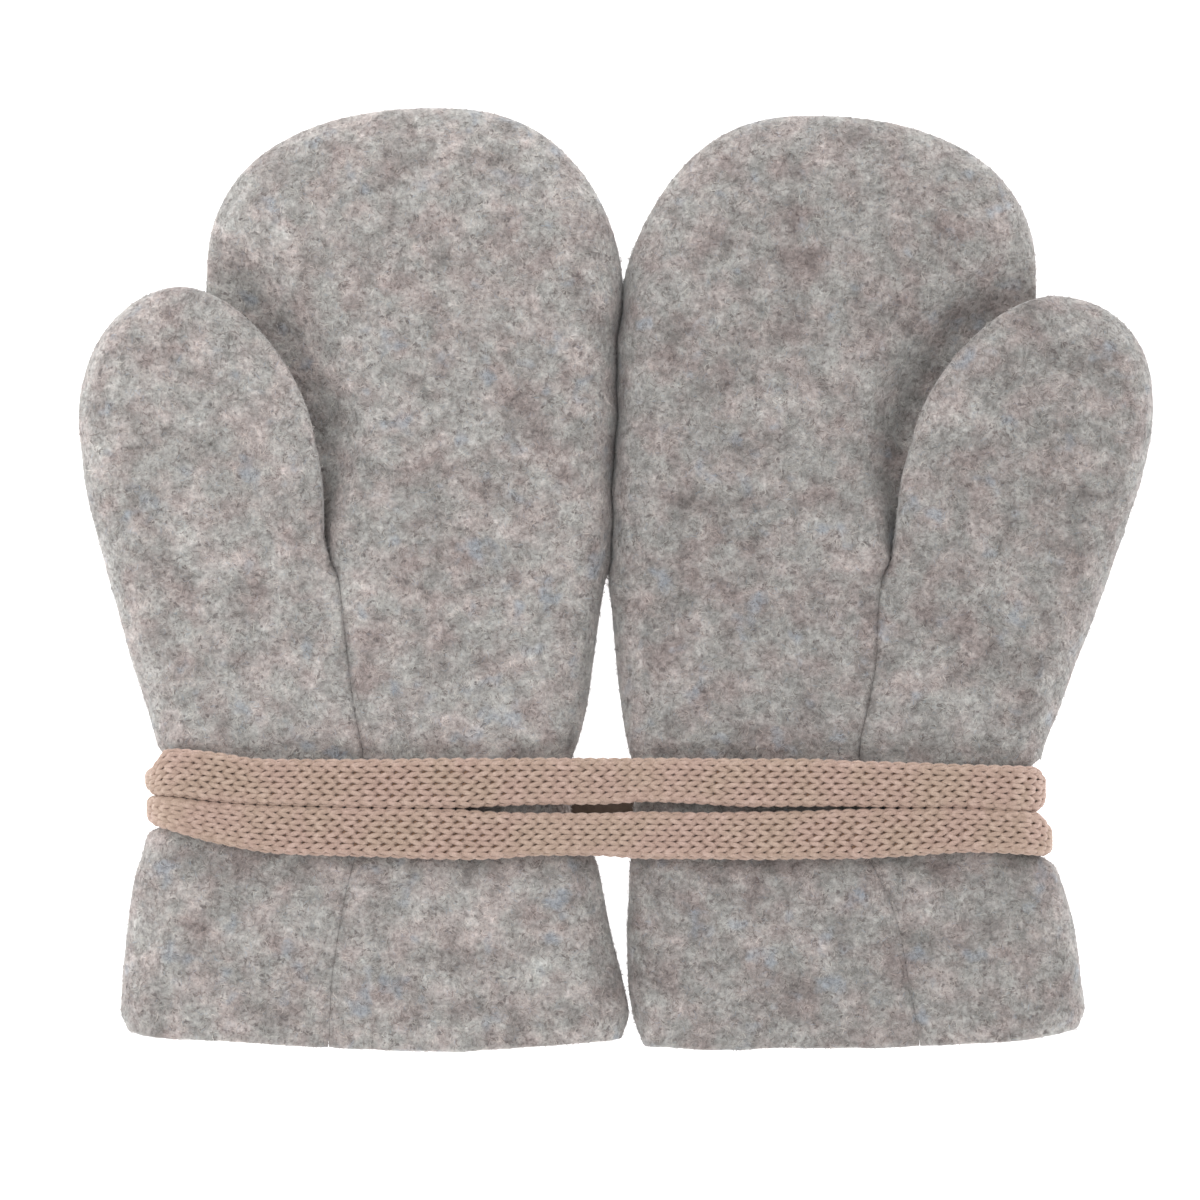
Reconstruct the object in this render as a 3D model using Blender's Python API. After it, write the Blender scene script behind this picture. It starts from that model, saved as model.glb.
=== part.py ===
"""Pair of baby mittens in felted wool fleece, lying palm up side by side.

Each mitten is sewn from three pieces: a back cut in one with the back of the thumb, a palm, and a
thumb front. Palm and thumb front meet in a seam that runs from the fork of the thumb through the
wrist to the hem. The knitted cord that joins the mittens is wound twice round both wrists.

Lengths are in millimetres until a mesh is made. "out" is the distance from the line between the two
mittens towards a mitten's thumb; y runs from the hem to the fingertips, 0 at the fork of the thumb;
z is the height above the surface that the pair lies on.
"""

import math
from bisect import bisect_right
from collections import namedtuple

import bmesh
import bpy

MM = 0.001

# Cloth
WALL = 1.6
SEAM_GAP = 0.3
EDGE_HEIGHT = 3.2
UNDER_ROUND = 6.0
BLEND_TURN = math.radians(30.0)
CREASE_ROUND = 4.0
CREASE_DEPTH = 0.6
CREASE_RUN = 7.0
FORK_Y = 0.0
FORK_RUN = 6.0
FORK_CLEARANCE = 0.05
HEM_RUN = 15.0

# Thumb lying over the hand
THUMB_LIFT = 6.5
THUMB_LIFT_Y = 7.0
THUMB_RAMP_OUTSIDE = 6.0
THUMB_RAMP_INSIDE = 2.5
THUMB_TOP_SHARE = 0.35
OVERLAP_ROUND = 8.0
OVERLAP_Y = 9.0
PRESSED_TOP = 6.0
PRESSED_FULLY_Y = 9.0
PRESSED_RUN = 9.0
PRESSED_RUN_AT_FORK = 2.5
PRESSED_WIDE_Y = 20.0

# Cord
CORD_THICK = 2.2
CORD_UNDERSIDE = 11.0
WRAP_STEPS = 12

# Mesh
RIB_PITCH = 5.0
HAND_STEPS = 6
THUMB_STEPS = 5
FAN_STEPS = 12
CORD_ARC_STEPS = 4

# One row for each section of a mitten: its edge by the other mitten, the palm's thumb-side edge, the
# thumb front's inner edge and the outer edge. Palm and thumb front share their edge below the fork.
Section = namedtuple("Section", "y inner palm thumb outer")
LEFT_SECTIONS = [
    Section(41.9, -0.55, 61.95, None, None),
    Section(35.0, 0.0, 59.4, None, None),
    Section(28.0, 0.25, 55.7, None, None),
    Section(20.9, 0.5, 51.4, 44.8, 80.6),
    Section(15.0, 0.7, 47.3, 43.7, 79.9),
    Section(10.5, 0.85, 44.5, 43.4, 79.0),
    Section(7.0, 1.0, 43.0, 43.4, 78.1),
    Section(3.0, 1.25, 42.4, 42.8, 77.0),
    Section(0.0, 1.65, 41.9, 41.9, 76.2),
    Section(-5.0, 2.4, 41.3, 41.3, 74.8),
    Section(-12.0, 3.4, 40.5, 40.5, 72.9),
    Section(-19.0, 4.4, 39.6, 39.6, 70.6),
    Section(-25.0, 5.9, 38.4, 38.4, 68.6),
    Section(-26.2, 6.4, 38.3, 38.3, 67.2),
    Section(-32.0, 6.9, 38.4, 38.4, 67.2),
    Section(-36.6, 6.5, 38.7, 38.7, 67.2),
    Section(-39.0, 5.9, 39.0, 39.0, 70.3),
    Section(-41.4, 5.0, 39.4, 39.4, 71.2),
    Section(-43.2, 3.0, 39.9, 39.9, 71.9),
    Section(-47.0, 2.0, 40.8, 40.8, 72.7),
    Section(-53.0, 0.8, 41.9, 41.9, 73.5),
    Section(-60.0, -0.9, 42.9, 42.9, 74.2),
    Section(-66.5, -1.9, 43.2, 43.2, 74.2),
    Section(-70.7, -1.0, 43.4, 43.4, 72.3),
]
RIGHT_SECTIONS = [
    Section(41.9, 0.87, 63.2, None, None),
    Section(35.0, 0.4, 60.6, None, None),
    Section(28.0, 0.15, 56.6, None, None),
    Section(20.9, -0.1, 51.6, 43.8, 80.1),
    Section(15.0, -0.3, 46.6, 42.1, 78.7),
    Section(10.5, -0.45, 42.8, 41.5, 77.2),
    Section(7.0, -0.65, 40.7, 41.1, 76.1),
    Section(3.0, -0.95, 40.1, 40.5, 74.7),
    Section(0.0, -1.3, 39.5, 39.5, 73.7),
    Section(-5.0, -0.9, 38.9, 38.9, 71.9),
    Section(-12.0, -0.3, 38.6, 38.6, 69.1),
    Section(-19.0, 0.5, 37.4, 37.4, 66.5),
    Section(-24.5, 1.4, 36.2, 36.2, 64.2),
    Section(-26.9, 2.0, 36.1, 36.1, 63.3),
    Section(-28.8, 2.1, 36.2, 36.2, 61.2),
    Section(-34.5, 2.3, 36.7, 36.7, 61.4),
    Section(-41.0, 2.0, 37.5, 37.5, 62.0),
    Section(-43.8, 1.7, 38.7, 38.7, 65.4),
    Section(-47.0, 1.6, 40.2, 40.2, 67.15),
    Section(-53.0, 1.4, 42.2, 42.2, 68.8),
    Section(-60.0, 1.5, 43.4, 43.4, 69.6),
    Section(-66.5, 2.4, 44.6, 44.6, 69.9),
    Section(-70.4, 3.6, 45.1, 45.1, 68.0),
]

# One row for each height along a mitten: underside and top, and how far in the top rounds off. The
# wrist passes over the runs of cord beneath it and is pressed down by those on it.
Height = namedtuple("Height", "y under top round")
HEIGHTS = [
    Height(71.0, 0.0, 10.4, 18.0),
    Height(45.0, 0.0, 10.8, 12.0),
    Height(25.0, 0.0, 11.0, 9.0),
    Height(0.0, 0.0, 10.9, 8.5),
    Height(-16.0, 0.0, 11.2, 8.5),
    Height(-21.5, 0.9, 11.8, 8.0),
    Height(-24.0, 2.0, 11.5, 7.0),
    Height(-26.0, 2.5, 10.7, 6.5),
    Height(-34.0, 2.5, 10.6, 6.0),
    Height(-42.3, 2.5, 10.7, 6.5),
    Height(-44.5, 1.9, 11.4, 8.0),
    Height(-48.5, 0.5, 11.4, 9.0),
    Height(-53.0, 0.0, 11.0, 9.5),
    Height(-71.0, 0.0, 10.4, 9.5),
]

# The rounded end of a lobe: how far it reaches past its top section, how square its first and last
# shoulders are, and how far its tip leans outwards, gathering that lean late or early
Tip = namedtuple("Tip", "reach first_power last_power lean lean_power")
# The hem hangs lowest at one place and rises towards both corners
Hem = namedtuple("Hem", "lowest_at rise span power")
Mitten = namedtuple("Mitten", "name side sections hand_tip thumb_tip hem")
MITTENS = [
    Mitten("left", -1, LEFT_SECTIONS, Tip(28.9, 2.2, 2.45, -2.8, 5.2),
           Tip(23.0, 1.76, 1.94, 2.8, 1.0), Hem(28.8, 2.4, 44.3, 1.5)),
    Mitten("right", 1, RIGHT_SECTIONS, Tip(27.75, 1.76, 2.7, -2.64, 2.14),
           Tip(21.6, 1.7, 2.19, 3.8, 1.15), Hem(14.0, 2.1, 51.7, 3.6)),
]

# The two runs of cord that show, from left to right
Stretch = namedtuple("Stretch", "x y width")
UPPER_RUN = [
    Stretch(-69.4, -30.2, 3.0),
    Stretch(-68.6, -30.3, 4.3),
    Stretch(-67.9, -29.75, 5.5),
    Stretch(-66.8, -29.05, 6.9),
    Stretch(-60.0, -29.7, 7.3),
    Stretch(-50.0, -30.4, 7.1),
    Stretch(-25.0, -30.8, 7.1),
    Stretch(0.5, -30.4, 6.9),
    Stretch(20.0, -30.6, 7.1),
    Stretch(42.5, -30.9, 6.7),
    Stretch(52.0, -31.1, 6.4),
    Stretch(62.1, -31.6, 6.8),
    Stretch(62.9, -31.8, 4.6),
    Stretch(63.2, -31.6, 3.0),
]
LOWER_RUN = [
    Stretch(-69.2, -34.6, 3.0),
    Stretch(-68.6, -34.75, 3.8),
    Stretch(-67.9, -34.95, 4.2),
    Stretch(-66.8, -35.2, 4.7),
    Stretch(-60.0, -36.75, 6.1),
    Stretch(-50.0, -37.8, 7.1),
    Stretch(-25.0, -38.3, 7.2),
    Stretch(-2.5, -38.5, 7.1),
    Stretch(12.5, -38.5, 7.2),
    Stretch(35.0, -38.3, 7.1),
    Stretch(52.0, -37.9, 6.6),
    Stretch(62.7, -38.5, 6.2),
    Stretch(63.4, -39.1, 4.9),
    Stretch(63.9, -39.6, 3.6),
    Stretch(64.15, -39.6, 3.0),
]
# Where each run turns round the outer edge of a wrist
UPPER_TURNS = (-70.5, 64.3)
LOWER_TURNS = (-70.3, 65.25)
# Beneath the wrists one run crosses over from the upper turn to the lower one, and both ends of the
# cord are sewn down
CROSSING = [
    Stretch(-62.5, -36.2, 5.6),
    Stretch(-44.0, -36.9, 6.6),
    Stretch(-5.0, -34.3, 6.8),
    Stretch(40.0, -31.4, 6.6),
    Stretch(56.5, -31.3, 6.4),
]
LEFT_END = [Stretch(-62.6, -29.5, 6.6), Stretch(-49.0, -29.6, 6.2)]
RIGHT_END = [Stretch(44.0, -38.3, 6.0), Stretch(57.6, -38.1, 6.0)]

WOOL_COLOUR = (0.36, 0.335, 0.325, 1.0)
CORD_COLOUR = (0.40, 0.29, 0.235, 1.0)


def ramp(value, start, stop):
    """0 before start, 1 after stop, smooth between."""
    share = min(max((value - start) / (stop - start), 0.0), 1.0)
    return share * share * (3.0 - 2.0 * share)


def mix(first, second, share):
    return first + (second - first) * share


def curve_through(rows, key, column):
    """Smooth curve through one column of a table, which never swings past its values."""
    knots = sorted((getattr(row, key), getattr(row, column)) for row in rows
                   if getattr(row, column) is not None)
    places, values = zip(*knots)
    slopes = [(values[i + 1] - values[i]) / (places[i + 1] - places[i]) for i in range(len(knots) - 1)]
    tangents = [slopes[0]]
    for before, after in zip(slopes, slopes[1:]):
        tangents.append(0.0 if before * after <= 0.0 else 2.0 * before * after / (before + after))
    tangents.append(slopes[-1])

    def at(place):
        place = min(max(place, places[0]), places[-1])
        i = min(bisect_right(places, place) - 1, len(slopes) - 1)
        step = places[i + 1] - places[i]
        t = (place - places[i]) / step
        return (values[i] * (1.0 + 2.0 * t) * (1.0 - t) ** 2 + tangents[i] * step * t * (1.0 - t) ** 2
                + values[i + 1] * t * t * (3.0 - 2.0 * t) - tangents[i + 1] * step * t * t * (1.0 - t))

    return at


under_at = curve_through(HEIGHTS, "y", "under")
top_at = curve_through(HEIGHTS, "y", "top")
round_at = curve_through(HEIGHTS, "y", "round")


def levels(sections, top):
    """Heights along the mitten at which ribs are laid, from the top down: at each section, and
    between sections that are far apart."""
    found = [top]
    for low in (row.y for row in sections if row.y < top):
        high = found[-1]
        steps = math.ceil((high - low) / RIB_PITCH)
        found += [mix(high, low, step / steps) for step in range(1, steps + 1)]
    return found


class Pattern:
    """Outlines and heights of one mitten, as functions of out and y."""

    def __init__(self, mitten):
        self.mitten = mitten
        self.column = {name: curve_through(mitten.sections, "y", name)
                       for name in ("inner", "palm", "thumb", "outer")}
        self.hem_y = mitten.sections[-1].y
        self.hand_top_y = mitten.sections[0].y
        self.thumb_top_y = max(row.y for row in mitten.sections if row.thumb is not None)

    def hem_shift(self, out, y):
        """How far a point near the hem sits above its section's level."""
        hem = self.mitten.hem
        near = max(0.0, 1.0 - (y - self.hem_y) / HEM_RUN) ** 2
        return near * hem.rise * (abs(out - hem.lowest_at) / hem.span) ** hem.power

    def tip_points(self, tip, first, last, base_y):
        """Points round the end of a lobe, from its edge "first" to its edge "last"."""
        start = self.column[first](base_y)
        stop = self.column[last](base_y)
        centre = (start + stop) / 2.0
        half = (stop - start) / 2.0
        points = []
        for step in range(FAN_STEPS + 1):
            angle = math.pi * step / FAN_STEPS
            power = mix(tip.first_power, tip.last_power, (1.0 - math.cos(angle)) / 2.0)
            across = -math.copysign(abs(math.cos(angle)) ** (2.0 / power), math.cos(angle))
            up = math.sin(angle) ** (2.0 / power) if 0 < step < FAN_STEPS else 0.0
            points.append((centre + half * across + tip.lean * up ** tip.lean_power,
                           base_y + tip.reach * up))
        return centre, points

    def past_thumb(self, out, y):
        """Distance from the thumb's outline, below 0 under the thumb."""
        level = min(y, self.thumb_top_y)
        inner = self.column["thumb"](level)
        outer = self.column["outer"](level)
        half = (outer - inner) / 2.0
        up = max(0.0, y - self.thumb_top_y) / self.mitten.thumb_tip.reach
        centre = (outer + inner) / 2.0 + self.mitten.thumb_tip.lean * min(up, 1.0)
        return (math.hypot((out - centre) / half, up) - 1.0) * half

    def thumb_under(self, out, y):
        """Underside of the thumb: flat outside the hand, lifted where it lies over it."""
        over_hand = self.column["palm"](y) - out
        lifted = ramp(over_hand, -THUMB_RAMP_OUTSIDE, THUMB_RAMP_INSIDE) * ramp(y, FORK_Y, THUMB_LIFT_Y)
        return mix(under_at(y), THUMB_LIFT, lifted)

    def thumb_top(self, out, y):
        return top_at(y) + THUMB_TOP_SHARE * (self.thumb_under(out, y) - under_at(y))

    def hand_top(self, out, y):
        """Top of the hand, pressed down beneath the thumb and beside it."""
        run = mix(PRESSED_RUN_AT_FORK, PRESSED_RUN, ramp(y, FORK_Y, PRESSED_WIDE_Y))
        beside = 1.0 - ramp(self.past_thumb(out, y), 0.0, run)
        pressed = beside * ramp(y, FORK_Y, PRESSED_FULLY_Y)
        return mix(top_at(y), PRESSED_TOP, pressed)

    def hand_under(self, out, y):
        return under_at(y)

    def crease_top(self, y):
        """Height of the seam between palm and thumb front, below the fork."""
        at_fork = under_at(y) + 2.0 * (WALL + FORK_CLEARANCE) + SEAM_GAP
        return mix(at_fork, top_at(y) - CREASE_DEPTH, ramp(FORK_Y - y, 0.0, CREASE_RUN))


# A rib runs from a panel's edge to its spine. "middle" is the height at which the back and front meet
# at the edge; "turn" is 0 where the wall stands upright at the edge and 90 degrees where it lies flat.
Rib = namedtuple("Rib", "edge spine middle turn round crease")


def rib_at(pattern, edge_column, spine_out, y, lobe):
    """A level rib from the spine to one of the four edges."""
    out = pattern.column[edge_column](y)
    at_fork = under_at(y) + WALL + SEAM_GAP / 2.0 + FORK_CLEARANCE
    if edge_column in ("inner", "outer"):
        return Rib((out, y), (spine_out, y), under_at(y) + EDGE_HEIGHT, 0.0, round_at(y), None)
    lifted = ramp(y, FORK_Y, FORK_Y + FORK_RUN)
    base = pattern.thumb_under(out, y) if lobe == "thumb" else under_at(y)
    middle = mix(at_fork, base + EDGE_HEIGHT, lifted)
    rounding = mix(CREASE_ROUND, OVERLAP_ROUND, ramp(y, FORK_Y, OVERLAP_Y))
    crease = pattern.crease_top(y) if y <= FORK_Y else None
    return Rib((out, y), (spine_out, y), middle, math.pi / 2.0 * (1.0 - lifted), rounding, crease)


def lobe_ribs(pattern, lobe):
    """Ribs of the hand or the thumb, from its hem up one side, round the tip and down the other."""
    if lobe == "hand":
        first, last, tip, base_y = "inner", "palm", pattern.mitten.hand_tip, pattern.hand_top_y
    else:
        first, last, tip, base_y = "thumb", "outer", pattern.mitten.thumb_tip, pattern.thumb_top_y
    heights = levels(pattern.mitten.sections, base_y)
    sides = {}
    for edge in (first, last):
        sides[edge] = [rib_at(pattern, edge, (pattern.column[first](y) + pattern.column[last](y)) / 2.0,
                              y, lobe) for y in heights]
    centre, points = pattern.tip_points(tip, first, last, base_y)
    first_round, last_round = sides[first][0].round, sides[last][0].round
    tip_round = round_at(base_y + tip.reach)
    fan = []
    for step, point in enumerate(points[1:-1], start=1):
        share = step / FAN_STEPS
        base = pattern.thumb_under(*point) if lobe == "thumb" else 0.0
        near_end = mix(first_round, last_round, share)
        rounding = mix(near_end, tip_round, math.sin(math.pi * share))
        fan.append(Rib(point, (centre, base_y), base + EDGE_HEIGHT, 0.0, rounding, None))
    return sides[first][::-1] + fan + sides[last]


def wall_along(pattern, rib, height, face, steps):
    """Outer and inner points of a wall from its edge to its spine; face is 1 for a front, -1 for a
    back."""
    (edge_out, edge_y), (spine_out, spine_y) = rib.edge, rib.spine
    length = math.hypot(spine_out - edge_out, spine_y - edge_y)
    inward = ((spine_out - edge_out) / length, (spine_y - edge_y) / length)
    start = rib.middle + face * (SEAM_GAP / 2.0 + WALL * math.sin(rib.turn))
    inset = 0.0
    if face > 0 and rib.crease is not None:
        start = rib.crease
        inset = SEAM_GAP / 2.0
    rounding = min(rib.round if face > 0 else UNDER_ROUND, length)
    rows = []
    for step in range(steps + 1):
        distance = inset + (length - inset) * (1.0 - math.cos(math.pi / 2.0 * step / steps))
        out = edge_out + inward[0] * distance
        y = edge_y + inward[1] * distance
        quarter = math.acos(max(0.0, 1.0 - distance / rounding))
        level = height(out, y)
        z = mix(start, level, math.sin(quarter))
        steep = math.atan2(rounding * math.sin(quarter), abs(level - start) * math.cos(quarter))
        turn = mix(rib.turn, steep, ramp(quarter, 0.0, BLEND_TURN))
        shift = pattern.hem_shift(out, y)
        side = pattern.mitten.side
        outer = (side * out, y + shift, z)
        inner = (side * (out + inward[0] * WALL * math.cos(turn)),
                 y + inward[1] * WALL * math.cos(turn) + shift,
                 z - face * WALL * math.sin(turn))
        rows.append((outer, inner))
    return rows


class Shell:
    """A wall gathered from strips of outer and inner points that share their common ones."""

    def __init__(self):
        self.outer = []
        self.inner = []
        self.faces = []
        self.known = {}

    def point(self, outer, inner):
        key = tuple(round(value, 3) for value in outer)
        if key not in self.known:
            self.known[key] = len(self.outer)
            self.outer.append(outer)
            self.inner.append(inner)
        return self.known[key]

    def add_strips(self, strips, flip):
        rows = [[self.point(*pair) for pair in strip] for strip in strips]
        for row, following in zip(rows, rows[1:]):
            for i in range(len(row) - 1):
                corners = [row[i], following[i], following[i + 1], row[i + 1]]
                corners = [c for place, c in enumerate(corners) if c not in corners[:place]]
                if len(corners) > 2:
                    self.faces.append(corners[::-1] if flip else corners)

    def build(self, name, material, collection):
        mesh = bpy.data.meshes.new(name)
        shape = bmesh.new()
        outer = [shape.verts.new([MM * value for value in point]) for point in self.outer]
        inner = [shape.verts.new([MM * value for value in point]) for point in self.inner]
        for corners in self.faces:
            shape.faces.new([outer[c] for c in corners])
            shape.faces.new([inner[c] for c in reversed(corners)])
        count = {}
        for corners in self.faces:
            for start, stop in zip(corners, corners[1:] + corners[:1]):
                count[frozenset((start, stop))] = count.get(frozenset((start, stop)), 0) + 1
        for corners in self.faces:
            for start, stop in zip(corners, corners[1:] + corners[:1]):
                if count[frozenset((start, stop))] == 1:
                    shape.faces.new([outer[stop], outer[start], inner[start], inner[stop]])
        shape.to_mesh(mesh)
        shape.free()
        return add_object(name, mesh, material, collection)


def add_object(name, mesh, material, collection):
    mesh.materials.append(material)
    mesh.shade_smooth()
    thing = bpy.data.objects.new(name, mesh)
    collection.objects.link(thing)
    return thing


def make_material(name, colour, roughness):
    material = bpy.data.materials.new(name)
    material.use_nodes = True
    shader = material.node_tree.nodes["Principled BSDF"]
    shader.inputs["Base Color"].default_value = colour
    shader.inputs["Roughness"].default_value = roughness
    shader.inputs["Metallic"].default_value = 0.0
    return material


def build_mitten(mitten, material, collection):
    pattern = Pattern(mitten)
    hand = lobe_ribs(pattern, "hand")
    thumb = lobe_ribs(pattern, "thumb")
    flip = mitten.side > 0

    palm = Shell()
    palm.add_strips([wall_along(pattern, rib, pattern.hand_top, 1, HAND_STEPS) for rib in hand], flip)
    palm.build(mitten.name + "_palm", material, collection)

    front = Shell()
    front.add_strips([wall_along(pattern, rib, pattern.thumb_top, 1, THUMB_STEPS) for rib in thumb],
                     flip)
    front.build(mitten.name + "_thumb", material, collection)

    back = Shell()
    back.add_strips([wall_along(pattern, rib, pattern.hand_under, -1, HAND_STEPS - 1) for rib in hand],
                    not flip)
    back.add_strips([wall_along(pattern, rib, pattern.thumb_under, -1, THUMB_STEPS) for rib in thumb],
                    not flip)
    back.build(mitten.name + "_back", material, collection)


def band_section(width):
    """Half-turns of the flat cord's section: level faces joined by round sides."""
    reach = width / 2.0 - CORD_THICK / 2.0
    points = []
    for middle, start in ((reach, -math.pi / 2.0), (-reach, math.pi / 2.0)):
        for step in range(CORD_ARC_STEPS + 1):
            angle = start + math.pi * step / CORD_ARC_STEPS
            points.append((middle + CORD_THICK / 2.0 * math.cos(angle),
                           CORD_THICK / 2.0 * math.sin(angle)))
    return points


def build_band(name, path, material, collection):
    """A flat cord along a path of (x, y, z, width), with its width along y."""
    mesh = bpy.data.meshes.new(name)
    shape = bmesh.new()
    rings = []
    for i, (x, y, z, width) in enumerate(path):
        before = path[max(i - 1, 0)]
        after = path[min(i + 1, len(path) - 1)]
        run, climb = after[0] - before[0], after[2] - before[2]
        length = math.hypot(run, climb)
        normal = (-climb / length, run / length)
        rings.append([shape.verts.new((MM * (x + normal[0] * lift), MM * (y + across),
                                       MM * (z + normal[1] * lift)))
                      for across, lift in band_section(width)])
    for ring, following in zip(rings, rings[1:]):
        for i in range(len(ring)):
            j = (i + 1) % len(ring)
            shape.faces.new((ring[i], ring[j], following[j], following[i]))
    shape.faces.new(rings[0][::-1])
    shape.faces.new(rings[-1])
    shape.to_mesh(mesh)
    shape.free()
    return add_object(name, mesh, material, collection)


def wound_run(table, turns):
    """Path of a run over the wrists, with the turn round an outer edge at each end."""
    y_at = curve_through(table, "x", "y")
    width_at = curve_through(table, "x", "width")
    low, high = CORD_THICK / 2.0, CORD_UNDERSIDE + CORD_THICK / 2.0
    radius = (high - low) / 2.0
    left_centre = turns[0] + CORD_THICK / 2.0 + radius
    right_centre = turns[1] - CORD_THICK / 2.0 - radius
    path = []
    for step in range(WRAP_STEPS + 1):
        angle = math.pi * step / WRAP_STEPS
        x = left_centre - radius * math.sin(angle)
        path.append((x, y_at(x), low + radius * (1.0 - math.cos(angle)), width_at(x)))
    for row in table[1:-1]:
        if left_centre < row.x < right_centre:
            path.append((row.x, row.y, high, row.width))
    for step in range(WRAP_STEPS + 1):
        angle = math.pi * step / WRAP_STEPS
        x = right_centre + radius * math.sin(angle)
        path.append((x, y_at(x), high - radius * (1.0 - math.cos(angle)), width_at(x)))
    return path


def flat_run(table):
    """Path of a run that lies on the surface beneath the wrists."""
    return [(row.x, row.y, CORD_THICK / 2.0, row.width) for row in table]


def build_cord(material, collection):
    build_band("cord_upper", wound_run(UPPER_RUN, UPPER_TURNS), material, collection)
    build_band("cord_lower", wound_run(LOWER_RUN, LOWER_TURNS), material, collection)
    build_band("cord_under", flat_run(CROSSING), material, collection)
    build_band("cord_left_end", flat_run(LEFT_END), material, collection)
    build_band("cord_right_end", flat_run(RIGHT_END), material, collection)


def main():
    for thing in list(bpy.data.objects):
        bpy.data.objects.remove(thing, do_unlink=True)
    collection = bpy.data.collections.new("baby_mittens")
    bpy.context.scene.collection.children.link(collection)
    wool = make_material("wool_fleece", WOOL_COLOUR, 0.95)
    cord = make_material("knitted_cord", CORD_COLOUR, 0.9)
    for mitten in MITTENS:
        build_mitten(mitten, wool, collection)
    build_cord(cord, collection)


main()
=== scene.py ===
"""Looks of a pair of baby mittens in felted wool fleece, laid palm up side by side and bound by the
knitted cord that joins them.

Every panel is a thin wall of cloth on the form of its solid, with rolled seams, soft creases and a
nap of short loose fibres. The cord is knitted: each stitch has its two legs.

As in the solids, "out" is the distance from the line between the two mittens towards a mitten's
thumb, y is 0 at the fork of the thumb and z is the height above the surface. Lengths are in
millimetres until a mesh is made.
"""

import math
from bisect import bisect_right
from collections import namedtuple

import bpy
import numpy as np
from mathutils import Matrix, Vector, noise


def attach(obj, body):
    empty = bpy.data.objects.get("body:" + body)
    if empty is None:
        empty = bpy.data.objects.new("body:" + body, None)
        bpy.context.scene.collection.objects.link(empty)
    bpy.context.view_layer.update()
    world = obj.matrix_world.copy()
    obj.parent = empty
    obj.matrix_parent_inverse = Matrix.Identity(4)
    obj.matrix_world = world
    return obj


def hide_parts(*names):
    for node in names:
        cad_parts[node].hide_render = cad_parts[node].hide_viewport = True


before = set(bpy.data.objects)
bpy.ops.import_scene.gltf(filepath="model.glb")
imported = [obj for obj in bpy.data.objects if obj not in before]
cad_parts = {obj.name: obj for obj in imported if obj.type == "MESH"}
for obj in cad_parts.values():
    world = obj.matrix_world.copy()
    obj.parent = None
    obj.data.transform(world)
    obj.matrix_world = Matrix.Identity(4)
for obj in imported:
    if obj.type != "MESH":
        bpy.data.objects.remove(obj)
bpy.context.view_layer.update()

MM = 0.001

# Camera: straight above, on the middle of the picture's field
FIELD = 180.0
FIELD_CENTRE = (-2.55, -3.15)
LENS = 200.0
SENSOR = 36.0
FOCUS_HEIGHT = 3.0

# Light: a tent, a lamp at the upper left and a floor that glows
TENT_SIDES = 2.33
TENT_TOP = 0.42
KEY_SIZE = 0.35
KEY_POWER = 0.75
KEY_PLACE = (-0.2, 0.25, 0.45)
FLOOR_HALF = 1.5
FLOOR_GLOW = 0.95

# Cloth
WALL = 1.6
SEAM_GAP = 0.04
EDGE_HEIGHT = 3.2
UNDER_ROUND = 6.0
BLEND_TURN = math.radians(30.0)
CREASE_ROUND = 4.0
CREASE_DEPTH = 0.6
FORK_Y = 0.0
FORK_RUN = 3.5
PALM_DROP_RUN = 2.5
FORK_CLEARANCE = 0.05
HEM_RUN = 15.0
HEM_ROUND = 0.7
HEM_SET_BACK = 1.1
HEM_ANGLES = (30.0, 60.0, 90.0)
FOLD_FADING = 0.6
EDGE_REACH = 2.0
FRONT_SEAM_REACH = 4.0
FRONT_SEAM_PAST_FORK = 2.0

# Thumb lying over the hand
THUMB_LIFT = 6.5
THUMB_LIFT_Y = 3.5
THUMB_TOP_LIFT_Y = 12.0
THUMB_RAMP_OUTSIDE = 6.0
THUMB_RAMP_INSIDE = 2.5
THUMB_TOP_SHARE = 0.35
OVERLAP_ROUND = 8.0
OVERLAP_Y = 9.0
TUCKED_ROUND = 2.0
TUCKED_UNTIL_Y = 20.0
PRESSED_TOP = 6.0
PRESSED_TOP_FAR = 4.8
PRESSED_FAR_Y = 24.0
PRESSED_FULLY_Y = 4.0
PRESSED_RUN = 9.0
PRESSED_RUN_AT_FORK = 1.5
PRESSED_WIDE_Y = 24.0
FILLED_UNDER = 4.0
FILLED_FROM_Y = 4.0
FILLED_END_Y = 16.0

# The mittens press together above MEETING_Y, where their sides are steep and meet low down, and part
# again towards the fingertips. The hand's edge is tucked under the thumb at the fork
MEETING = 0.3
MEETING_Y = -1.0
MEETING_RUN = 3.0
MEETING_EDGE_HEIGHT = 1.2
MEETING_ROUND = 7.0
PARTING_Y = 42.0
PARTED_Y = 52.0
WANDER = 0.2
WANDER_SIZES = (3.1, 1.2)
TUCK = 1.8
TUCK_RUN = 3.0
TUCK_FROM_Y = 9.0
TUCK_END_Y = 14.0

# Cord: yarn in courses of loops round it
CORD_THICK = 2.2
CORD_UNDERSIDE = 11.0
CORE_THICK = 0.95
CORE_RING_PITCH = 1.5
CORE_SIDES = 16
CORE_INSET = 0.1
TURN_POINTS = 33
RUN_PITCH = 1.0
FLAT_POINTS = 60
WALES = 10
SHOWN_WALES = 7
LOOP_LENGTH = 2.6
LOOP_SWELL = 0.26
LOOP_ARCH = 0.25
LOOP_STEPS = 12
SWELL_SPREAD = 0.1
REACH_SPREAD = 0.04
SWAY_SPREAD = 0.03
COURSE_DRIFT = 0.13
YARN_WIDTH = 0.82
CORE_COLOURS = ((0.34, 0.200, 0.130), (0.45, 0.285, 0.200))
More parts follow.
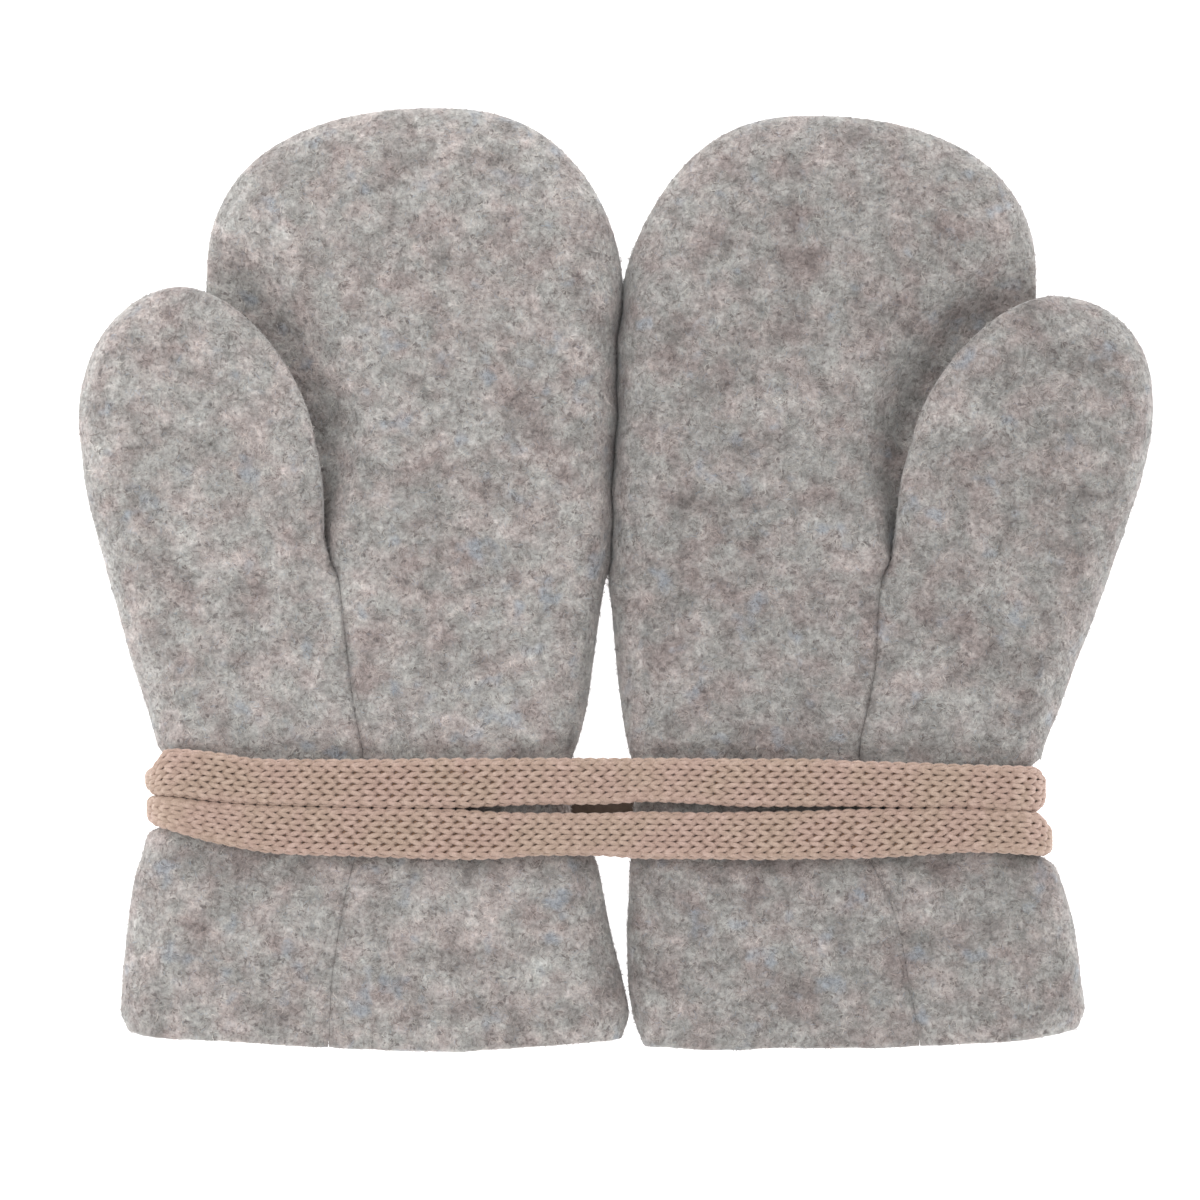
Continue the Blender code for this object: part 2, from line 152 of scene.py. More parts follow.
# The core of the stretch beneath the wrists, darker than the other cores: painted shade, so that it
# shows dark in the slit between the runs
CORE_COLOURS_BENEATH_SHADED = ((0.125, 0.092, 0.072), (0.168, 0.124, 0.098))
YARN_HEIGHT = 0.6
YARN_SUNK = 0.15
YARN_SIDES = 6
UP_PROBE = 0.1

# Detail of the outer and the inner side of the cloth: distance between ribs, and steps along a rib
Detail = namedtuple("Detail", "pitch fan steps")
OUTSIDE = Detail(1.0, 80, 36)
INSIDE = Detail(3.0, 32, 9)

# One row for each section of a mitten: its edge by the other mitten, the palm's thumb-side edge, the
# thumb front's inner edge and the outer edge. Palm and thumb front share their edge below the fork.
Section = namedtuple("Section", "y inner palm thumb outer")
LEFT_SECTIONS = [Section(*row) for row in (
    (41.9, -0.55, 61.95, None, None), (35.0, 0.0, 59.4, None, None), (28.0, 0.25, 55.7, None, None),
    (20.9, 0.5, 51.4, 44.8, 80.6), (15.0, 0.7, 47.3, 43.7, 79.9), (10.5, 0.85, 44.5, 43.4, 79.0),
    (7.0, 1.0, 43.0, 43.4, 78.1), (3.0, 1.25, 42.1, 42.5, 77.0), (0.0, 1.65, 41.5, 41.5, 76.2),
    (-5.0, 2.4, 40.9, 40.9, 74.8), (-12.0, 3.4, 40.1, 40.1, 72.9), (-19.0, 4.4, 39.2, 39.2, 70.6),
    (-25.0, 5.9, 38.0, 38.0, 68.75), (-25.7, 6.2, 37.9, 37.9, 68.4), (-26.7, 6.5, 37.9, 37.9, 67.2),
    (-32.0, 6.9, 38.0, 38.0, 67.2), (-36.5, 6.5, 38.3, 38.3, 67.2), (-37.4, 6.3, 38.4, 38.4, 69.7),
    (-38.7, 5.4, 38.6, 38.6, 70.5), (-41.4, 3.3, 39.0, 39.0, 71.2), (-43.2, 2.6, 39.5, 39.5, 71.9),
    (-47.0, 1.9, 40.4, 40.4, 72.7), (-53.0, 0.8, 41.5, 41.5, 73.5), (-60.0, -0.9, 42.5, 42.5, 74.2),
    (-66.5, -1.9, 42.8, 42.8, 74.5), (-70.7, -1.0, 43.0, 43.0, 73.5),
)]
RIGHT_SECTIONS = [Section(*row) for row in (
    (41.9, 0.87, 63.2, None, None), (35.0, 0.4, 60.6, None, None), (28.0, 0.15, 56.6, None, None),
    (20.9, -0.1, 51.6, 43.8, 80.1), (15.0, -0.3, 46.6, 42.1, 78.7), (10.5, -0.45, 42.8, 41.5, 77.2),
    (7.0, -0.65, 40.7, 41.1, 76.1), (3.0, -0.95, 40.1, 40.5, 74.7), (0.0, -1.3, 39.5, 39.5, 73.7),
    (-5.0, -0.9, 38.9, 38.9, 71.9), (-12.0, -0.3, 38.6, 38.6, 69.1), (-19.0, 0.5, 37.4, 37.4, 66.5),
    (-24.5, 1.4, 36.2, 36.2, 64.2), (-27.2, 2.0, 36.1, 36.1, 63.3), (-28.4, 2.1, 36.2, 36.2, 61.2),
    (-34.5, 2.3, 36.7, 36.7, 61.4), (-41.1, 2.0, 37.5, 37.5, 62.0), (-41.9, 1.9, 37.7, 37.7, 64.8),
    (-43.1, 1.7, 38.3, 38.3, 65.7), (-47.0, 1.6, 40.2, 40.2, 67.2), (-53.0, 1.4, 42.2, 42.2, 68.8),
    (-60.0, 1.5, 43.4, 43.4, 69.6), (-66.5, 2.4, 44.6, 44.6, 70.2), (-70.4, 3.6, 45.1, 45.1, 69.4),
)]

# One row for each height along a mitten: underside and top, and how far in the top rounds off
Height = namedtuple("Height", "y under top round")
HEIGHTS = [Height(*row) for row in (
    (71.0, 0.0, 10.4, 18.0), (45.0, 0.0, 10.8, 12.0), (25.0, 0.0, 11.0, 9.0),
    (0.0, 0.0, 10.9, 8.5), (-16.0, 0.0, 11.2, 8.5), (-21.5, 0.9, 11.8, 8.0),
    (-24.0, 2.0, 11.5, 7.0), (-26.0, 2.5, 10.7, 6.5), (-34.0, 2.5, 10.6, 6.0),
    (-42.3, 2.5, 10.7, 6.5), (-44.5, 1.9, 11.4, 8.0), (-48.5, 0.5, 11.4, 9.0),
    (-53.0, 0.0, 11.0, 9.5), (-71.0, 0.0, 10.4, 9.5),
)]

# The rounded end of a lobe: how far it reaches past its top section, how square its first and last
# shoulders are, and how far its tip leans outwards, gathering that lean late or early
Tip = namedtuple("Tip", "reach first_power last_power lean lean_power")
# The hem hangs lowest at one place and rises towards both corners
Hem = namedtuple("Hem", "lowest_at rise span power")
# The cloth of the right mitten is painted darker than that of the left one: painted shade, for light
# that falls off from left to right
Mitten = namedtuple("Mitten", "name side shade sections hand_tip thumb_tip hem")
MITTENS = [
    Mitten("left", -1, 1.0, LEFT_SECTIONS, Tip(28.9, 2.2, 2.45, -2.8, 5.2),
           Tip(23.0, 1.76, 1.94, 2.8, 1.0), Hem(28.8, 2.4, 44.3, 1.5)),
    Mitten("right", 1, 0.875, RIGHT_SECTIONS, Tip(27.75, 1.76, 2.7, -2.64, 2.14),
           Tip(21.6, 1.7, 2.19, 3.8, 1.15), Hem(14.0, 2.1, 51.7, 3.6)),
]

# The two runs of cord that show, from left to right
Stretch = namedtuple("Stretch", "x y width")
UPPER_RUN = [Stretch(*row) for row in (
    (-69.4, -29.95, 3.2), (-68.6, -30.05, 4.5), (-67.9, -29.5, 5.7), (-66.8, -28.8, 7.1),
    (-60.0, -29.45, 7.5), (-53.0, -30.19, 6.97), (-46.0, -30.33, 7.15), (-35.0, -30.44, 7.37),
    (-25.0, -30.4, 7.6), (-18.5, -30.26, 7.27), (-11.0, -30.1, 7.04), (-2.5, -30.09, 6.96),
    (4.5, -29.9, 6.6), (12.5, -30.09, 6.91), (20.0, -30.33, 7.26), (27.5, -30.29, 7.24),
    (35.0, -30.46, 6.93), (42.5, -30.65, 6.9), (52.0, -30.85, 6.6), (61.9, -31.4, 7.0),
    (62.8, -31.5, 5.2), (63.1, -31.35, 3.6),
)]
LOWER_RUN = [Stretch(*row) for row in (
    (-69.4, -34.2, 3.4), (-68.8, -34.5, 4.3), (-68.0, -34.6, 4.8), (-66.8, -34.8, 5.1),
    (-60.0, -36.18, 6.15), (-50.0, -37.3, 7.3), (-35.0, -37.71, 7.46), (-25.0, -37.95, 7.7),
    (-18.5, -38.14, 7.16), (-11.0, -37.96, 6.44), (-3.0, -38.0, 6.41), (4.5, -38.11, 7.12),
    (12.5, -38.19, 7.03), (20.0, -38.19, 7.24), (27.5, -38.08, 7.28), (35.0, -37.91, 7.52),
    (42.5, -37.68, 7.29), (52.0, -37.36, 6.73), (62.5, -38.0, 6.4), (63.3, -38.6, 5.4),
    (63.8, -38.9, 4.6), (64.05, -39.0, 4.0),
)]
# Where each run turns round the outer edge of a wrist
UPPER_TURNS = (-70.5, 64.1)
LOWER_TURNS = (-70.3, 65.05)
# Beneath the wrists one run crosses over from the upper turn to the lower one, and both ends of the
# cord are sewn down
CROSSING = [Stretch(*row) for row in (
    (-62.5, -36.2, 5.6), (-44.0, -36.9, 6.6), (-5.0, -34.3, 6.8),
    (40.0, -31.4, 6.6), (56.5, -31.3, 6.4),
)]
LEFT_END = [Stretch(-62.6, -29.5, 6.6), Stretch(-49.0, -29.6, 6.2)]
RIGHT_END = [Stretch(44.0, -38.3, 6.0), Stretch(57.6, -38.1, 6.0)]

# Distance between the courses of the cord, which is drawn out more in some places
Stretched = namedtuple("Stretched", "x course")
STRETCHED = [Stretched(*row) for row in (
    (-70.0, 1.65), (-50.0, 1.88), (-34.0, 2.08), (-24.0, 2.08),
    (-10.0, 1.86), (2.0, 1.75), (14.0, 1.94), (27.0, 2.03),
    (40.0, 2.05), (52.0, 1.98), (66.0, 1.65),
)]
TIGHTEST_COURSE = min(row.course for row in STRETCHED)
LOOSEST_COURSE = max(row.course for row in STRETCHED)

# Soft troughs (depth above 0) and ridges (below 0) in the cloth, from one point to another
Fold = namedtuple("Fold", "x0 y0 x1 y1 depth width")
FRONT_FOLDS = [Fold(*row) for row in (
    # gathers above the cord
    (-61.0, -26.0, -60.0, -19.0, 0.45, 1.6), (-52.0, -26.0, -53.5, -16.0, 0.35, 2.0),
    (-24.0, -26.0, -25.5, -18.5, 0.40, 1.7), (-12.5, -26.0, -11.0, -14.5, 0.35, 2.2),
    (9.0, -26.0, 8.0, -17.0, 0.40, 1.8), (22.5, -26.0, 24.0, -19.5, 0.35, 1.5),
    (46.0, -26.0, 48.5, -15.5, 0.40, 2.0), (56.0, -26.0, 58.0, -19.0, 0.35, 1.5),
    # gathers below it
    (-56.6, -42.0, -57.8, -50.0, 0.60, 1.4), (-47.0, -42.0, -47.5, -47.0, 0.35, 1.2),
    (-30.5, -42.0, -31.5, -52.0, 0.35, 2.2), (-17.6, -42.0, -16.8, -49.5, 0.55, 1.5),
    (12.0, -42.0, 11.0, -53.0, 0.45, 2.0), (26.0, -42.0, 27.0, -48.0, 0.35, 1.5),
    (47.5, -42.0, 49.5, -51.0, 0.45, 1.7), (59.0, -42.0, 60.2, -47.0, 0.55, 1.3),
    (62.7, -43.0, 64.0, -48.5, 0.50, 1.2),
    # flare of the cuffs
    (-62.0, -50.0, -65.5, -70.0, -0.50, 5.0), (-25.0, -50.0, -24.0, -70.0, -0.45, 6.0),
    (18.0, -50.0, 16.0, -70.0, -0.50, 5.5), (57.0, -50.0, 60.0, -70.0, -0.45, 4.5),
    # faint lines on the left mitten
    (-46.8, -17.3, -36.5, -17.5, 0.30, 0.8), (-46.8, -62.8, -38.0, -63.1, 0.30, 0.8),
    (-42.6, -55.0, -42.8, -62.0, 0.35, 1.0),
    # broad hollows where the padding hand would be
    (-14.0, 30.0, -20.0, 8.0, 0.45, 8.0), (26.0, 32.0, 22.0, 6.0, 0.45, 9.0),
    (-58.0, 20.0, -56.0, -8.0, -0.35, 7.0), (60.0, 22.0, 56.0, -6.0, -0.35, 7.0),
)]
BACK_FOLDS = [Fold(*row) for row in (
    (-58.0, -26.0, -57.0, -17.0, 0.50, 1.7), (-31.0, -26.0, -33.0, -14.0, 0.45, 2.2),
    (-14.0, -25.0, -12.5, -16.0, 0.45, 1.6), (14.0, -26.0, 12.0, -15.0, 0.50, 2.0),
    (38.0, -25.0, 40.0, -13.0, 0.45, 2.1), (52.0, -26.0, 54.0, -18.0, 0.40, 1.6),
    (-60.0, -42.0, -62.5, -53.0, 0.50, 1.7), (-36.0, -42.0, -37.0, -55.0, 0.50, 2.2),
    (-15.0, -42.0, -14.0, -50.0, 0.45, 1.5), (10.0, -42.0, 9.0, -52.0, 0.50, 1.8),
    (33.0, -42.0, 35.0, -54.0, 0.45, 2.2), (55.0, -42.0, 57.0, -50.0, 0.50, 1.6),
)]

# Unevenness of the felt: size of the lumps and how far they stand up
Lumps = namedtuple("Lumps", "size height")
LUMPS = [Lumps(9.0, 0.22), Lumps(3.4, 0.13), Lumps(1.5, 0.05)]

# How a panel's edges roll in at a seam: how deep, and how far from the seam
Roll = namedtuple("Roll", "depth width")
SIDE_ROLL = Roll(0.45, 0.7)
FRONT_ROLL = Roll(0.45, 0.6)
# The front seam is softer on the cuff, which begins below the cord
CUFF_Y = -36.0
CUFF_ROLL = Roll(0.3, 1.3)

# Nap: fibres per square millimetre and the shape of a fibre, a quad with a triangle at its tip
NAP_FRONT = 5.0
NAP_BACK = 2.3
FIBRE_LENGTH = (0.5, 1.5)
FIBRE_WIDTH = 0.085
FIBRE_RISE = (0.02, 0.30)
FIBRE_BEND = 0.28
FIBRE_WIDTH_SPREAD = (0.6, 1.3)
FIBRE_TIP_RISE = (0.0, 1.2)
FIBRE_SUNK = 0.05
FIBRE_LOWEST = 0.02
FIBRE_POINTS = 5
FIBRE_CORNERS = (0, 1, 2, 3, 3, 2, 4)
FIBRE_FACE_STARTS = (0, 4)

# Wool: the colours of its clouds, from dark to light, and its mottles by size, offset and strength
WOOL_CLOUDS = (
    (0.28, (0.255, 0.228, 0.220)),
    (0.40, (0.350, 0.318, 0.308)),
    (0.50, (0.395, 0.376, 0.364)),
    (0.60, (0.430, 0.400, 0.389)),
    (0.72, (0.500, 0.484, 0.468)),
)
WOOL_MOTTLES = ((4.5, 0.17, 0.09), (2.2, 0.41, 0.15), (1.0, 0.93, 0.12))

# Flat cut of each panel: width, length and area
Cut = namedtuple("Cut", "width length area")
CUTS = {
    "palm": Cut(0.070, 0.150, 0.0088),
    "thumb": Cut(0.045, 0.120, 0.0044),
    "back": Cut(0.088, 0.148, 0.0106),
}


# ---- form, as in the solids


def ramp(value, start, stop):
    """0 before start, 1 after stop, smooth between."""
    share = min(max((value - start) / (stop - start), 0.0), 1.0)
    return share * share * (3.0 - 2.0 * share)


def mix(first, second, share):
    return first + (second - first) * share


def curve_through(rows, key, column):
    """Smooth curve through one column of a table, which never swings past its values."""
    knots = sorted((getattr(row, key), getattr(row, column)) for row in rows
                   if getattr(row, column) is not None)
    places, values = zip(*knots)
    slopes = [(values[i + 1] - values[i]) / (places[i + 1] - places[i]) for i in range(len(knots) - 1)]
    tangents = [slopes[0]]
    for before, after in zip(slopes, slopes[1:]):
        tangents.append(0.0 if before * after <= 0.0 else 2.0 * before * after / (before + after))
    tangents.append(slopes[-1])

    def at(place):
        place = min(max(place, places[0]), places[-1])
        i = min(bisect_right(places, place) - 1, len(slopes) - 1)
        step = places[i + 1] - places[i]
        t = (place - places[i]) / step
        return (values[i] * (1.0 + 2.0 * t) * (1.0 - t) ** 2 + tangents[i] * step * t * (1.0 - t) ** 2
                + values[i + 1] * t * t * (3.0 - 2.0 * t) - tangents[i + 1] * step * t * t * (1.0 - t))

    return at


under_at = curve_through(HEIGHTS, "y", "under")
top_at = curve_through(HEIGHTS, "y", "top")
round_at = curve_through(HEIGHTS, "y", "round")


def wander(y):
    """How far the line where the mittens meet strays to the right."""
    return WANDER * (math.sin(y / WANDER_SIZES[0]) + math.sin(y / WANDER_SIZES[1]) / 2.0)


def levels(start, stop, pitch):
    """Heights along the mitten at which ribs are laid, from the top down, one of them at the fork."""
    found = []
    for high, low in ((start, FORK_Y), (FORK_Y, stop)):
        count = math.ceil((high - low) / pitch)
        found += [mix(high, low, step / count) for step in range(count)]
    return found + [stop]


class Pattern:
    """Outlines and heights of one mitten, as functions of out and y."""

    def __init__(self, mitten):
        self.mitten = mitten
        self.column = {name: curve_through(mitten.sections, "y", name)
                       for name in ("inner", "palm", "thumb", "outer")}
        inner, palm, thumb = (self.column[name] for name in ("inner", "palm", "thumb"))
        self.column["inner"] = lambda y: (inner(y) + mitten.side * wander(y) * self.meeting(y)
                                          - MEETING * ramp(y, MEETING_Y, MEETING_Y + MEETING_RUN))
        self.column["palm"] = lambda y: palm(y) + TUCK * (
            ramp(y, FORK_Y, FORK_Y + TUCK_RUN) - ramp(y, TUCK_FROM_Y, TUCK_END_Y))
        self.column["thumb"] = lambda y: palm(y) if y <= FORK_Y else thumb(y)
        self.hem_y = mitten.sections[-1].y
        self.hand_top_y = mitten.sections[0].y
        self.thumb_top_y = max(row.y for row in mitten.sections if row.thumb is not None)

    def meeting(self, y):
        """1 where the mittens press together, 0 where they are apart."""
        return ramp(y, MEETING_Y - MEETING_RUN, MEETING_Y + MEETING_RUN) * (
            1.0 - ramp(y, PARTING_Y, PARTED_Y))

    def hem_shift(self, out, y):
        """How far a point near the hem sits above its section's level."""
        hem = self.mitten.hem
        near = max(0.0, 1.0 - (y - self.hem_y) / HEM_RUN) ** 2
        rise = hem.rise * (abs(out - hem.lowest_at) / hem.span) ** hem.power
        return near * (HEM_SET_BACK + rise)

    def tip_points(self, tip, first, last, base_y, fan):
        """Points round the end of a lobe, from its edge "first" to its edge "last"."""
        start = self.column[first](base_y)
        stop = self.column[last](base_y)
        centre = (start + stop) / 2.0
        half = (stop - start) / 2.0
        points = []
        for step in range(1, fan):
            angle = math.pi * step / fan
            power = mix(tip.first_power, tip.last_power, (1.0 - math.cos(angle)) / 2.0)
            across = -math.copysign(abs(math.cos(angle)) ** (2.0 / power), math.cos(angle))
            up = math.sin(angle) ** (2.0 / power)
            points.append((centre + half * across + tip.lean * up ** tip.lean_power,
                           base_y + tip.reach * up))
        return centre, points

    def past_thumb(self, out, y):
        """Distance from the thumb's outline, below 0 under the thumb."""
        level = min(y, self.thumb_top_y)
        inner = self.column["thumb"](level)
        outer = self.column["outer"](level)
        half = (outer - inner) / 2.0
        up = max(0.0, y - self.thumb_top_y) / self.mitten.thumb_tip.reach
        centre = (outer + inner) / 2.0 + self.mitten.thumb_tip.lean * min(up, 1.0)
        return (math.hypot((out - centre) / half, up) - 1.0) * half

    def over_hand(self, out, y):
        """1 where the thumb lies over the hand, 0 where it lies beside it."""
        return ramp(self.column["palm"](y) - out, -THUMB_RAMP_OUTSIDE, THUMB_RAMP_INSIDE)

    def thumb_under(self, out, y):
        """Underside of the thumb: flat outside the hand, lifted where it lies over it."""
        lifted = self.over_hand(out, y) * ramp(y, FORK_Y, THUMB_LIFT_Y)
        return mix(under_at(y), THUMB_LIFT, lifted)

    def thumb_top(self, out, y):
        lifted = self.over_hand(out, y) * ramp(y, FORK_Y, THUMB_TOP_LIFT_Y)
        return top_at(y) + THUMB_TOP_SHARE * lifted * (THUMB_LIFT - under_at(y))

    def hand_top(self, out, y):
        """Top of the hand, pressed down beneath the thumb and beside it."""
        run = mix(PRESSED_RUN_AT_FORK, PRESSED_RUN, ramp(y, FORK_Y, PRESSED_WIDE_Y))
        start = -FILLED_UNDER * (1.0 - ramp(y, FILLED_FROM_Y, FILLED_END_Y))
        beside = 1.0 - ramp(self.past_thumb(out, y), start, run)
        pressed = beside * ramp(y, FORK_Y, PRESSED_FULLY_Y)
        level = mix(PRESSED_TOP, PRESSED_TOP_FAR, ramp(y, FILLED_END_Y, PRESSED_FAR_Y))
        return mix(top_at(y), level, pressed)

    def hand_under(self, out, y):
        return under_at(y)

    def crease_top(self, y):
        """Height of the seam between palm and thumb front, below the fork."""
        return top_at(y) - CREASE_DEPTH


# A rib runs from a panel's edge to its spine. "middle" is the height at which the back and front meet
# at the edge; "turn" is 0 where the wall stands upright at the edge and 90 degrees where it lies flat.
Rib = namedtuple("Rib", "edge spine middle turn round crease")


def rib_at(pattern, edge_column, spine_out, y, lobe):
    """A level rib from the spine to one of the four edges."""
    out = pattern.column[edge_column](y)
    at_fork = under_at(y) + WALL + SEAM_GAP / 2.0 + FORK_CLEARANCE
    if edge_column in ("inner", "outer"):
        meeting = pattern.meeting(y) if edge_column == "inner" else 0.0
        middle = under_at(y) + mix(EDGE_HEIGHT, MEETING_EDGE_HEIGHT, meeting)
        rounding = mix(round_at(y), MEETING_ROUND, meeting)
        return Rib((out, y), (spine_out, y), middle, 0.0, rounding, None)
    lifted = ramp(y, FORK_Y, FORK_Y + FORK_RUN)
    base = pattern.thumb_under(out, y) if lobe == "thumb" else under_at(y)
    middle = mix(at_fork, base + EDGE_HEIGHT, lifted)
    turn = math.pi / 2.0 * (1.0 - lifted)
    start = middle + SEAM_GAP / 2.0 + WALL * math.sin(turn)
    if lobe == "thumb":
        rounding = mix(CREASE_ROUND, OVERLAP_ROUND, ramp(y, FORK_Y, OVERLAP_Y))
        crease = mix(pattern.crease_top(y), start, ramp(y, FORK_Y, FORK_RUN))
    else:
        rounding = CREASE_ROUND if y <= FORK_Y else mix(
            TUCKED_ROUND, OVERLAP_ROUND, ramp(y, FORK_Y, TUCKED_UNTIL_Y))
        crease = mix(pattern.crease_top(y), start, ramp(y, FORK_Y, PALM_DROP_RUN))
    return Rib((out, y), (spine_out, y), middle, turn, rounding, crease)


def lobe_ribs(pattern, lobe, detail):
    """Ribs of the hand or the thumb, from its hem up one side, round the tip and down the other."""
    if lobe == "hand":
        first, last, tip, base_y = "inner", "palm", pattern.mitten.hand_tip, pattern.hand_top_y
    else:
        first, last, tip, base_y = "thumb", "outer", pattern.mitten.thumb_tip, pattern.thumb_top_y
    sides = {}
    for edge in (first, last):
        sides[edge] = [rib_at(pattern, edge, (pattern.column[first](y) + pattern.column[last](y)) / 2.0,
                              y, lobe) for y in levels(base_y, pattern.hem_y, detail.pitch)]
    centre, points = pattern.tip_points(tip, first, last, base_y, detail.fan)
    first_round, last_round = sides[first][0].round, sides[last][0].round
    tip_round = round_at(base_y + tip.reach)
    fan = []
    for step, point in enumerate(points, start=1):
        share = step / detail.fan
        base = pattern.thumb_under(*point) if lobe == "thumb" else 0.0
        near_end = mix(first_round, last_round, share)
        rounding = mix(near_end, tip_round, math.sin(math.pi * share))
        meeting = pattern.meeting(point[1]) * (1.0 - share) if lobe == "hand" else 0.0
        middle = base + mix(EDGE_HEIGHT, MEETING_EDGE_HEIGHT, meeting)
        fan.append(Rib(point, (centre, base_y), middle, 0.0, rounding, None))
    return sides[first][::-1] + fan + sides[last]


def wall_along(pattern, rib, height, face, steps):
    """Outer and inner points of a wall from its edge to its spine; face is 1 for a front, -1 for a
    back."""
    (edge_out, edge_y), (spine_out, spine_y) = rib.edge, rib.spine
    length = math.hypot(spine_out - edge_out, spine_y - edge_y)
    inward = ((spine_out - edge_out) / length, (spine_y - edge_y) / length)
    start = rib.middle + face * (SEAM_GAP / 2.0 + WALL * math.sin(rib.turn))
    inset = 0.0
    if face > 0 and rib.crease is not None:
        start = rib.crease
        inset = SEAM_GAP / 2.0
    rounding = min(rib.round if face > 0 else UNDER_ROUND, length)
    side = pattern.mitten.side
    outer, inner = [], []
    for step in range(steps + 1):
        distance = inset + (length - inset) * (1.0 - math.cos(math.pi / 2.0 * step / steps))
        out = edge_out + inward[0] * distance
        y = edge_y + inward[1] * distance
        quarter = math.acos(max(0.0, 1.0 - distance / rounding))
        level = height(out, y)
        z = mix(start, level, math.sin(quarter))
        steep = math.atan2(rounding * math.sin(quarter), abs(level - start) * math.cos(quarter))
        turn = mix(rib.turn, steep, ramp(quarter, 0.0, BLEND_TURN))
        shift = pattern.hem_shift(out, y)
        outer.append((side * out, y + shift, z))
        inner.append((side * (out + inward[0] * WALL * math.cos(turn)),
                      y + inward[1] * WALL * math.cos(turn) + shift,
                      z - face * WALL * math.sin(turn)))
    return outer, inner


# ---- cloth


class Surface:
    """One side of a panel: quads gathered from grids of points that share their common ones."""

    def __init__(self):
        self.points = []
        self.faces = []
        self.along = []
        self.known = {}

    def point(self, place, along):
        key = tuple(round(float(value), 3) for value in place)
        if key not in self.known:
            self.known[key] = len(self.points)
            self.points.append(place)
            self.along.append(along)
        index = self.known[key]
        self.along[index] = min(self.along[index], along)
        return index

    def add(self, grid, flip):
        """grid is a list of ribs, each a list of points from the edge to the spine."""
        rows = []
        for rib in grid:
            steps = np.linalg.norm(np.diff(np.array(rib), axis=0), axis=1)
            along = np.concatenate([[0.0], np.cumsum(steps)])
            rows.append([self.point(*pair) for pair in zip(rib, along)])
        for row, following in zip(rows, rows[1:]):
            for i in range(len(row) - 1):
                corners = [row[i], following[i], following[i + 1], row[i + 1]]
                corners = [c for place, c in enumerate(corners) if c not in corners[:place]]
                if len(corners) > 2:
                    self.faces.append(corners[::-1] if flip else corners)

    def border(self):
        """Indices round the open edge, in the direction in which the faces run."""
        steps = {(a, b) for corners in self.faces for a, b in zip(corners, corners[1:] + corners[:1])}
        following = {a: b for a, b in steps if (b, a) not in steps}
        loop = [min(following)]
        while following[loop[-1]] != loop[0]:
            loop.append(following[loop[-1]])
        return loop


def hem_rows(outer, inner):
    """Ribs that carry the outer side round the rim of the hem to the middle of the wall."""
    outer, inner = np.array(outer), np.array(inner)
    middle = (outer + inner) / 2.0
    rows = []
    for angle in np.radians(HEM_ANGLES):
        rows.append(middle + (outer - middle) * math.cos(angle)
                    + np.array((0.0, -HEM_ROUND * math.sin(angle), 0.0)))
    return [[tuple(point) for point in row] for row in rows]


def add_lobe(outside, inside, pattern, lobe, height, face, flip):
    """Adds the hand's or the thumb's part of a panel to its outer and inner side."""
    walls = [wall_along(pattern, rib, height, face, OUTSIDE.steps)
             for rib in lobe_ribs(pattern, lobe, OUTSIDE)]
    first = hem_rows(*walls[0])[::-1]
    last = hem_rows(*walls[-1])
    outside.add(first + [outer for outer, inner in walls] + last, flip)
    walls = [wall_along(pattern, rib, height, face, INSIDE.steps)
             for rib in lobe_ribs(pattern, lobe, INSIDE)]
    inside.add([inner for outer, inner in walls], flip)


def zip_borders(first, second, points):
    """Triangles between two closed borders that run side by side."""
    gap = [np.linalg.norm(points[index] - points[first[0]]) for index in second]
    start = int(np.argmin(gap))
    second = second[start:] + second[:start]
    faces = []
    i = j = 0
    while i < len(first) or j < len(second):
        a, b = first[i % len(first)], first[(i + 1) % len(first)]
        c, d = second[j % len(second)], second[(j + 1) % len(second)]
        across_b = np.linalg.norm(points[b] - points[c])
        across_d = np.linalg.norm(points[a] - points[d])
        if j == len(second) or (i < len(first) and across_b <= across_d):
            faces.append((b, a, c))
            i += 1
        else:
            faces.append((a, c, d))
            j += 1
    return faces


def mesh_of(name, points, faces):
    mesh = bpy.data.meshes.new(name)
    mesh.from_pydata([[MM * value for value in point] for point in points], [], faces)
    mesh.shade_smooth()
    return mesh


def add_object(name, data):
    made = bpy.data.objects.new(name, data)
    bpy.context.scene.collection.objects.link(made)
    return made


def read(items, name, width, kind=float):
    """One attribute of all vertices or triangles of a mesh, a row for each."""
    values = np.empty(width * len(items), kind)
    items.foreach_get(name, values)
    return values.reshape(-1, width)


def normals_of(points, faces):
    mesh = mesh_of("draft", points, faces)
    normals = read(mesh.vertices, "normal", 3)
    bpy.data.meshes.remove(mesh)
    return normals


def fold_depth(points, folds):
    """How far the folds push each point in."""
    depth = np.zeros(len(points))
    for fold in folds:
        start = np.array((fold.x0, fold.y0))
        run = np.array((fold.x1, fold.y1)) - start
        share = np.clip((points[:, :2] - start) @ run / (run @ run), 0.0, 1.0)
        away = np.linalg.norm(points[:, :2] - start - share[:, None] * run, axis=1)
        fading = 1.0 - FOLD_FADING * share
        depth += fold.depth * fading * np.exp(-(away / fold.width) ** 2)
    return depth


def lump_height(points):
    """Unevenness of the felt at each point."""
    height = np.zeros(len(points))
    for lumps in LUMPS:
        height += [lumps.height * noise.noise(Vector(point) / lumps.size) for point in points]
    return height


def near_front_seam(points, pattern):
    """1 at the seam between palm and thumb front, 0 away from it and above the fork."""
    out = points[:, 0] * pattern.mitten.side
    edge = np.array([pattern.column["palm"](y) for y in points[:, 1]])
    below_fork = points[:, 1] < FORK_Y + FRONT_SEAM_PAST_FORK
    return np.exp(-((out - edge) / FRONT_SEAM_REACH) ** 2) * below_fork


